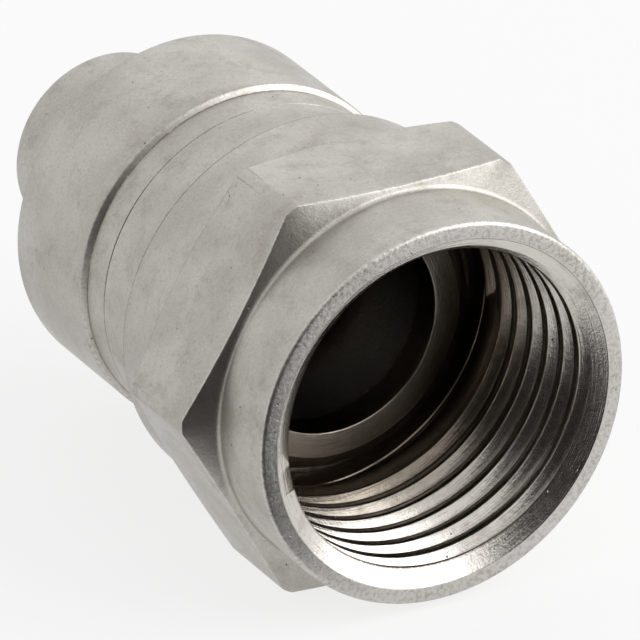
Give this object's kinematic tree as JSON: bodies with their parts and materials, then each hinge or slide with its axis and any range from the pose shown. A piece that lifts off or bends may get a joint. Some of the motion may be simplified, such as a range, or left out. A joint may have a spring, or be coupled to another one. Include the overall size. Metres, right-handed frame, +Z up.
{
  "type": "coaxial cable plug connector",
  "caption": "Coaxial cable plug with a free-spinning hexagonal coupling nut, a flanged inner post and a plain round body with a rear tube for the cable.",
  "frame": {"origin": "on the connector's axis where the threaded wall of the coupling nut begins, 0.37 mm behind the rim", "axes": "+Y along the connector's axis from the mouth to the rear tube, -Y out of the mouth towards the mating socket, +Z up from a flat of the hexagon, +X across its corners"},
  "size_m": [0.0125, 0.0182, 0.011],
  "materials": {
    "nut_plating": "satin nickel plating over brass",
    "post_plating": "satin nickel plating over brass",
    "body_plating": "satin nickel plating over brass"
  },
  "bodies": {
    "connector": {"post": "post_plating", "body_shell": "body_plating"},
    "nut": {"coupling_nut": "nut_plating"}
  },
  "joints": [
    {"name": "nut_spin", "type": "hinge", "parent": "connector", "child": "nut", "pos_m": [0, 0, 0], "axis": [0, 1, 0], "continuous": true}
  ]
}
